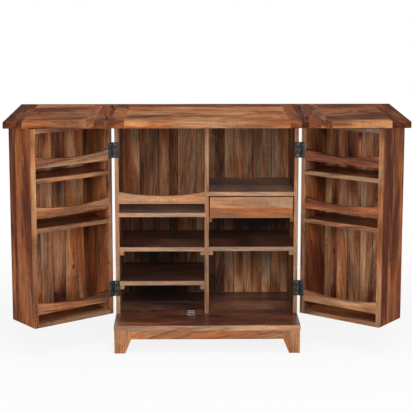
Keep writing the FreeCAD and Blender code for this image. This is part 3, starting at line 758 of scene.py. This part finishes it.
IRON = metal("blackened_iron", (0.030, 0.030, 0.031), (0.16, 0.16, 0.16), 0.35, 0.44, edge=0.25)
SCREW = metal("worn_screw_iron", (0.090, 0.088, 0.085), (0.24, 0.235, 0.23), 0.5, 0.36, edge=0.4)
STEEL = metal("bright_steel", (0.78, 0.77, 0.75), (0.55, 0.53, 0.50), 0.3, 0.26)
ZINC = metal("dull_zinc", (0.16, 0.135, 0.11), (0.09, 0.075, 0.06), 0.4, 0.50, edge=0.25)
CASE = metal("catch_case", (0.110, 0.100, 0.092), (0.16, 0.15, 0.14), 0.3, 0.42)
finish_nodes(IRON, "hinge_pins", "left_door_knob", "right_door_knob")
finish_nodes(STEEL, "catch_poles")
finish_nodes(CASE, "catch_bodies")
print("metal finished")

# %% [markdown]
# ## Helpers for modelling the ironwork
# The hinges, catches and their plates are small iron goods, and every one starts as a primitive. An
# operator acts on all that is selected, so each helper first deselects everything. Faces are then
# picked in code, by where they are and which way they face, as a hand would click on them.

# %% Primitives, picking, drilling and copying
HOLE_SIDES = 24
SHARP = math.radians(50)  # a steeper turn between two faces is bevelled
SMOOTH = math.radians(35)  # and a flatter one is shaded smooth


def deselect():
    """Leave nothing selected."""
    bpy.ops.object.select_all(action="DESELECT")


def settle():
    """Put the new primitive's place, turn and scale into its mesh."""
    bpy.ops.object.transform_apply(location=True, rotation=True, scale=True)
    return bpy.context.object


def block(low, high):
    """A cube from one corner to the other."""
    low, high = Vector(low), Vector(high)
    deselect()
    bpy.ops.mesh.primitive_cube_add(size=1.0, location=(low + high) / 2, scale=high - low)
    return settle()


def taper(wide, narrow, top, bottom, x, z):
    """A cone along Y at (x, z). Its radius is wide at y = top and narrow at y = bottom."""
    deselect()
    bpy.ops.mesh.primitive_cone_add(vertices=HOLE_SIDES, radius1=narrow, radius2=wide, depth=bottom - top,
                                    location=(x, (top + bottom) / 2, z), rotation=(math.radians(90), 0, 0))
    return settle()


def mode(name):
    """Enter or leave edit mode."""
    bpy.ops.object.mode_set(mode=name)


def pick(piece, kind, test):
    """Enter edit mode with only the faces or edges selected that pass the test."""
    mode("EDIT")
    bpy.ops.mesh.select_mode(type=kind)
    bpy.ops.mesh.select_all(action="DESELECT")
    mode("OBJECT")
    for part in piece.data.polygons if kind == "FACE" else piece.data.edges:
        part.select = test(part)
    mode("EDIT")


def joined(name, pieces):
    """Several objects made one."""
    deselect()
    for piece in pieces:
        piece.select_set(True)
    bpy.context.view_layer.objects.active = pieces[0]
    if len(pieces) > 1:
        bpy.ops.object.join()
    pieces[0].name = name
    return pieces[0]


def apply_modifier(piece, kind, **settings):
    """Add a modifier with its settings and apply it."""
    modifier = piece.modifiers.new(kind.lower(), kind)
    for key, value in settings.items():
        setattr(modifier, key, value)
    bpy.context.view_layer.objects.active = piece
    bpy.ops.object.modifier_apply(modifier=modifier.name)


def drill(piece, cutters):
    """Cut the cutters out of a piece and throw them away."""
    cutter = joined("cutter", cutters)
    apply_modifier(piece, "BOOLEAN", operation="DIFFERENCE", solver="EXACT", object=cutter)
    bpy.data.objects.remove(cutter)


def soften(piece, width):
    """Break the sharp edges with a small bevel and shade the rounds smooth."""
    apply_modifier(piece, "BEVEL", width=width, segments=2, limit_method="ANGLE", angle_limit=SHARP)
    deselect()
    piece.select_set(True)
    bpy.ops.object.shade_smooth_by_angle(angle=SMOOTH)


def placed(source, matrix):
    """A copy of a piece, with its own mesh, moved by a matrix."""
    copy = source.copy()
    copy.data = source.data.copy()
    bpy.context.collection.objects.link(copy)
    copy.data.transform(matrix)
    return copy


def hand_over(name, pieces, body, finish, slot, *nodes):
    """One finished piece: joined, named, painted and riding on its body, in place of any nodes."""
    piece = joined(name, pieces)
    piece.data.materials.clear()
    piece.data.materials.append(finish)
    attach(piece, body)
    if nodes:
        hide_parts(*nodes)
    print(name, "has", len(piece.data.polygons), "faces and rides on", body)


print("helpers ready")

# %% [markdown]
# ## A slotted screw
# Every plate is held by countersunk screws with a single slot. The head is a short cone, wide at the
# face, and a thin block cuts the slot. It is modelled once, and each copy is turned a little further,
# because no fitter lines the slots up.

# %% One screw
SCREW_HEAD = 0.0066
SCREW_NECK = 0.0036
SCREW_DEPTH = 0.0012
SCREW_SLOT = 0.0010
SLOT_DEPTH = 0.0007
SCREW_ARRIS = 0.00008
SCREW_TURN = 47.0  # degrees from one screw to the next
HEIGHT_TURN = 100.0  # and degrees per metre of the plate's height


def slotted_screw():
    """A countersunk head that faces -Y, with its face at y = 0."""
    head = taper(SCREW_HEAD / 2, SCREW_NECK / 2, 0.0, SCREW_DEPTH, 0.0, 0.0)
    slot_low = (-SCREW_HEAD, -SLOT_DEPTH, -SCREW_SLOT / 2)
    slot_high = (SCREW_HEAD, SLOT_DEPTH, SCREW_SLOT / 2)
    drill(head, [block(slot_low, slot_high)])
    soften(head, SCREW_ARRIS)
    return head


SCREW_MASTER = slotted_screw()


def screws(matrix, places):
    """Screws at places in a plate's own frame, each turned further than the last."""
    turned = []
    for number, place in enumerate(places):
        angle = SCREW_TURN * (number + 1) + HEIGHT_TURN * matrix.translation.z
        spin = Matrix.Rotation(math.radians(angle), 4, "Y")
        turned.append(placed(SCREW_MASTER, matrix @ Matrix.Translation(place) @ spin))
    return turned


print("screw head:", len(SCREW_MASTER.data.polygons), "faces")

# %% [markdown]
# ## Butt hinges with five knuckles
# A butt hinge is two iron leaves whose meeting edges are cut into fingers and rolled round a pin. Here
# the pin is the Z axis and the closed leaves lie along X. A leaf starts as a cube. Bisecting marks
# where its fingers begin, the fingers are extruded towards the pin, and each gets a bored barrel: a
# cylinder whose two ends are inset and bridged. The moving leaf is the same leaf with the other
# fingers, turned over about X.

# %% One leaf of each kind
KNUCKLES = 5
LEAF_LENGTH = 0.069
LEAF_WIDTH = 0.0236
LEAF_GAUGE = 0.0014
LEAF_PLAY = 0.0001  # from the closed hinge's middle plane to a leaf
BARREL_SIDES = 32
BARREL_RADIUS = 0.0040
BORE_RADIUS = 0.00205
BARREL_RELIEF = 0.0004
KNUCKLE_PLAY = 0.0003
FINGER_END = 0.0022  # a finger ends inside its barrel's wall
LEAF_HOLES = [(0.0115, LEAF_PLAY, -0.024), (0.0175, LEAF_PLAY, 0.0), (0.0115, LEAF_PLAY, 0.024)]
COUNTERSINK = 0.0036  # radius at the face
ARRIS = 0.00018
SQUARE_ON = 0.9  # a face looks along an axis where its normal has this much of it
TURN_OVER = Matrix.Rotation(math.pi, 4, "X")


def countersink(plate, top, bottom, places):
    """Drill screw holes through a plate at places, wide at y = top."""
    drill(plate, [taper(COUNTERSINK, SCREW_NECK / 2, top - ARRIS, bottom + ARRIS, x, z)
                  for x, _, z in places])


def knuckle_spans(first):
    """Bottom and top of every second knuckle."""
    pitch = LEAF_LENGTH / KNUCKLES
    starts = [index * pitch - LEAF_LENGTH / 2 for index in range(first, KNUCKLES, 2)]
    return [(start + KNUCKLE_PLAY / 2, start + pitch - KNUCKLE_PLAY / 2) for start in starts]


def barrel(bottom, top):
    """One bored knuckle round the pin."""
    deselect()
    bpy.ops.mesh.primitive_cylinder_add(vertices=BARREL_SIDES, radius=BARREL_RADIUS, depth=top - bottom,
                                        location=(0.0, 0.0, (bottom + top) / 2))
    piece = settle()
    pick(piece, "FACE", lambda face: abs(face.normal.z) > SQUARE_ON)
    bpy.ops.mesh.inset(thickness=BARREL_RADIUS - BORE_RADIUS)
    bpy.ops.mesh.bridge_edge_loops()
    mode("OBJECT")
    return piece


def hinge_leaf(first):
    """A leaf with its fingers, barrels and countersunk holes. Its shown face looks along -Y."""
    face, back = LEAF_PLAY, LEAF_PLAY + LEAF_GAUGE
    root = BARREL_RADIUS + BARREL_RELIEF
    spans = knuckle_spans(first)
    leaf = block((root, face, -LEAF_LENGTH / 2), (LEAF_WIDTH, back, LEAF_LENGTH / 2))
    mode("EDIT")
    for height in sorted(height for span in spans for height in span):
        bpy.ops.mesh.select_all(action="SELECT")
        bpy.ops.mesh.bisect(plane_co=(0.0, 0.0, height), plane_no=(0.0, 0.0, 1.0))
    pick(leaf, "FACE", lambda face: (face.normal.x < -SQUARE_ON
                                     and any(low < face.center.z < high for low, high in spans)))
    bpy.ops.mesh.extrude_region_move(TRANSFORM_OT_translate={"value": (FINGER_END - root, 0.0, 0.0)})
    mode("OBJECT")
    countersink(leaf, face, back, LEAF_HOLES)
    leaf = joined("leaf", [leaf, *(barrel(*span) for span in spans)])
    soften(leaf, ARRIS)
    return leaf


FIXED_LEAF = hinge_leaf(1)
MOVING_LEAF = hinge_leaf(0)
print("leaf faces:", len(FIXED_LEAF.data.polygons), len(MOVING_LEAF.data.polygons))

# %% [markdown]
# ## The hinges in their places
# Each joint of the frame says where its pin is, and the box round the plates of a moving body says how
# far apart its two hinges are. A door's pins stand upright, and its moving leaves are turned open with
# the door. The pins of the top lie along the seams, with both leaves hanging down into the slabs.

# %% Eight hinges
def hinge_frames(joint):
    """Pairs of matrices that set the fixed and the moving leaf of a body's two hinges."""
    body, pin = joint["child"], Vector(joint["pos_m"])
    side = -1 if body.startswith("left") else 1
    low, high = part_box(body + "_hinge_plates")
    pin_axis = 2 if body in DOOR_SHUT else 1
    pairs = []
    for middle in (low[pin_axis] + LEAF_LENGTH / 2, high[pin_axis] - LEAF_LENGTH / 2):
        if body in DOOR_SHUT:
            flip = Matrix.Rotation(math.pi if side > 0 else 0.0, 4, "Y")
            swung = Matrix.Rotation(-DOOR_SHUT[body][0], 4, "Z")
            spot = Matrix.Translation((pin.x, pin.y, middle))
            pairs.append((spot @ flip, spot @ swung @ flip @ TURN_OVER))
        else:
            hang = Matrix(((0, -side, 0, pin.x), (0, 0, side, middle), (-1, 0, 0, pin.z), (0, 0, 0, 1)))
            pairs.append((hang, hang @ TURN_OVER))
    return pairs


fixed_leaves, fixed_screws = [], []
for joint in frame["joints"]:
    body = joint["child"]
    plates = body + "_hinge_plates"
    if plates in NODES:
        moving_leaves, moving_screws = [], []
        for fixed, moving in hinge_frames(joint):
            fixed_leaves.append(placed(FIXED_LEAF, fixed))
            fixed_screws += screws(fixed, LEAF_HOLES)
            moving_leaves.append(placed(MOVING_LEAF, moving))
            moving_screws += screws(moving, LEAF_HOLES)
        hand_over(body + "_hinge_leaves", moving_leaves, body, IRON, "blackened_iron", plates)
        hand_over(body + "_hinge_screws", moving_screws, body, SCREW, "blackened_iron")
hand_over("hinge_fixed_leaves", fixed_leaves, "cabinet", IRON, "blackened_iron", "hinge_fixed_plates")
hand_over("hinge_fixed_screws", fixed_screws, "cabinet", SCREW, "blackened_iron")

# %% [markdown]
# ## Strike plates
# A strike is a thin plate on the door's edge with two countersunk screws. It is drilled at the origin,
# where places are easy to name, set on the shut door and swung open with it.

# %% Strikes
STRIKE_HOLES = [(-0.0105, 0.0, 0.0), (0.0105, 0.0, 0.0)]  # from the plate's middle
HALF_TURN = Matrix.Rotation(math.pi, 4, "Z")
for body, (turn, shift) in DOOR_SHUT.items():
    low, high = shut_box(body + "_strike")
    middle, size = (low + high) / 2, high - low
    plate = block((-size.x / 2, 0.0, -size.z / 2), (size.x / 2, size.y, size.z / 2))
    countersink(plate, 0.0, size.y, STRIKE_HOLES)
    soften(plate, ARRIS)
    opened = shut_matrix(turn, shift).inverted()
    spot = opened @ Matrix.Translation((middle.x, high.y, middle.z)) @ HALF_TURN
    hand_over(body + "_strike_plate", [placed(plate, spot)], body, ZINC, "steel", body + "_strike")
    hand_over(body + "_strike_screws", screws(spot, STRIKE_HOLES), body, SCREW, "steel")
    bpy.data.objects.remove(plate)

# %% [markdown]
# ## Catch ears
# A magnetic catch is screwed down through an ear on each side. An ear is a thin block with its two
# outer corners bevelled round. One catch stands on the base board and the other hangs under the top,
# so the same ear is set right way up and upside down.

# %% Ears of the catches
CATCH_WIDTH = 0.035
CATCH_DEPTH = 0.014
EAR_LENGTH = 0.0095
EAR_DEPTH = 0.0100
EAR_THICK = 0.0014
EAR_ROUND = 0.0030
EAR_STEPS = 5  # facets of a rounded corner
EAR_HOLES = [(EAR_LENGTH / 2, 0.0, 0.0)]


def catch_ear():
    """A rounded, drilled tab from x = 0 outwards, that faces -Y."""
    ear = block((0.0, 0.0, -EAR_DEPTH / 2), (EAR_LENGTH, EAR_THICK, EAR_DEPTH / 2))

    def outer_corner(edge):
        first, second = (ear.data.vertices[index].co for index in edge.vertices)
        return min(first.x, second.x) > EAR_LENGTH / 2 and abs(first.y - second.y) > EAR_THICK / 2

    pick(ear, "EDGE", outer_corner)
    bpy.ops.mesh.bevel(offset=EAR_ROUND, segments=EAR_STEPS)
    mode("OBJECT")
    countersink(ear, 0.0, EAR_THICK, EAR_HOLES)
    soften(ear, ARRIS)
    return ear


EAR = catch_ear()
low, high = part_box("catch_bodies")
y_middle = low[1] + CATCH_DEPTH / 2
ears, ear_screws = [], []
for up, x_low, height in ((1, low[0], low[2] + EAR_THICK),
                          (-1, high[0] - CATCH_WIDTH, high[2] - EAR_THICK)):
    for outward in (-1, 1):
        root = x_low if outward < 0 else x_low + CATCH_WIDTH
        spot = Matrix(((outward, 0, 0, root), (0, 0, outward * up, y_middle), (0, -up, 0, height),
                       (0, 0, 0, 1)))
        ears.append(placed(EAR, spot))
        ear_screws += screws(spot, EAR_HOLES)
hand_over("catch_ears", ears, "cabinet", CASE, "catch_case")
hand_over("catch_screws", ear_screws, "cabinet", STEEL, "steel")
for master in (EAR, FIXED_LEAF, MOVING_LEAF, SCREW_MASTER):
    bpy.data.objects.remove(master)

# %% [markdown]
# ## Floor and light
# A large pale floor, a soft sky and broad lamps show timber best. The floor and the sky look white to
# the camera and in reflections through the Light Path node, so no extra light is needed for a white
# ground. Near the cabinet the floor keeps part of its paint, which holds the shadow under the legs, and
# further out it fades to the sky's white, so that no horizon shows.

# %% Floor
FLOOR_SIZE = 400.0
FLOOR_PAINT = (0.80, 0.80, 0.80, 1.0)
FLOOR_ROUGH = 0.9
WHITE = (1.0, 1.0, 1.0, 1.0)
SHADOW_NEAR = 0.9  # distance from the cabinet's middle at which the floor starts to fade
SHADOW_FAR = 2.6  # and at which it is as white as the sky
NEAR_GLOW = 0.86


def seen_directly(tree):
    """One where a ray comes from the camera, a reflection or through glass."""
    rays = put(tree, "LightPath").outputs
    return maths(tree, "MAXIMUM", rays["Is Camera Ray"], rays["Is Glossy Ray"], rays["Is Transmission Ray"])


deselect()
bpy.ops.mesh.primitive_plane_add(size=FLOOR_SIZE, location=(0.0, 0.0, 0.0))
floor = bpy.context.object
floor.name = "studio_floor"
floor_finish = bpy.data.materials.new("pale_floor")
tree = cleared(floor_finish)
paint = put(tree, "BsdfPrincipled", {"Base Color": FLOOR_PAINT, "Roughness": FLOOR_ROUGH})
glow = put(tree, "Emission", {"Color": WHITE, "Strength": 1.0})
away = length(tree, put(tree, "TexCoord").outputs["Object"])
fade = step(tree, away, SHADOW_NEAR, SHADOW_FAR, NEAR_GLOW, 1.0)
amount = times(tree, seen_directly(tree), fade)
mixed = put(tree, "MixShader", {0: amount, 1: paint.outputs[0], 2: glow.outputs[0]})
put(tree, "OutputMaterial", {"Surface": mixed.outputs[0]})
floor.data.materials.append(floor_finish)
print("floor", floor.dimensions.x, "m wide")

# %% Sky and lamps
SKY_STRENGTH = 0.44
FRONT_POWER = 87.0
TOP_POWER = 52.0
FILL_POWER = 62.0
world = bpy.data.worlds.new("studio")
bpy.context.scene.world = world
tree = cleared(world)
strength = put(tree, "MapRange", {"Value": seen_directly(tree), "To Min": SKY_STRENGTH, "To Max": 1.0})
sky = put(tree, "Background", {"Color": WHITE, "Strength": strength.outputs[0]})
put(tree, "OutputWorld", {"Surface": sky.outputs[0]})


def lamp(name, place, target, width, height, power):
    """A broad soft lamp that faces a point."""
    data = bpy.data.lights.new(name, "AREA")
    data.shape = "RECTANGLE"
    data.size = width
    data.size_y = height
    data.energy = power
    holder = bpy.data.objects.new(name, data)
    bpy.context.collection.objects.link(holder)
    holder.location = place
    holder.rotation_euler = (Vector(target) - Vector(place)).to_track_quat("-Z", "Y").to_euler()


lamp("front_lamp", (0.3, -4.2, 2.4), (0.0, 0.0, 0.5), 3.0, 1.6, FRONT_POWER)
lamp("top_lamp", (0.3, -0.8, 3.8), (0.0, 0.0, 0.9), 2.6, 1.6, TOP_POWER)
for side in (-1, 1):
    lamp("door_fill", (3.6 * side, -4.0, 1.0), (-0.6 * side, -0.3, 0.6), 1.6, 1.6, FILL_POWER)
print("lamps placed")

# %% [markdown]
# ## Camera and view
# A long lens from well back keeps the uprights nearly straight. The small shift lowers the picture on
# the film, so the camera can look almost level and still show the top.

# %% Camera
FILM = 36.0
LENS = 114.9
CAMERA_PLACE = (-0.0708, -5.7079, 1.7364)
LOOK_DOWN = 9.205
LOOK_RIGHT = 0.69
SHIFT_UP = -0.12
camera_data = bpy.data.cameras.new("camera")
camera_data.sensor_width = FILM
camera_data.lens = LENS
camera_data.shift_y = SHIFT_UP
camera = bpy.data.objects.new("camera", camera_data)
bpy.context.collection.objects.link(camera)
camera.location = CAMERA_PLACE
camera.rotation_euler = (math.radians(90.0 - LOOK_DOWN), 0.0, math.radians(-LOOK_RIGHT))
bpy.context.scene.camera = camera
bpy.context.scene.view_settings.view_transform = "Standard"
print("camera", CAMERA_PLACE, "lens", LENS)
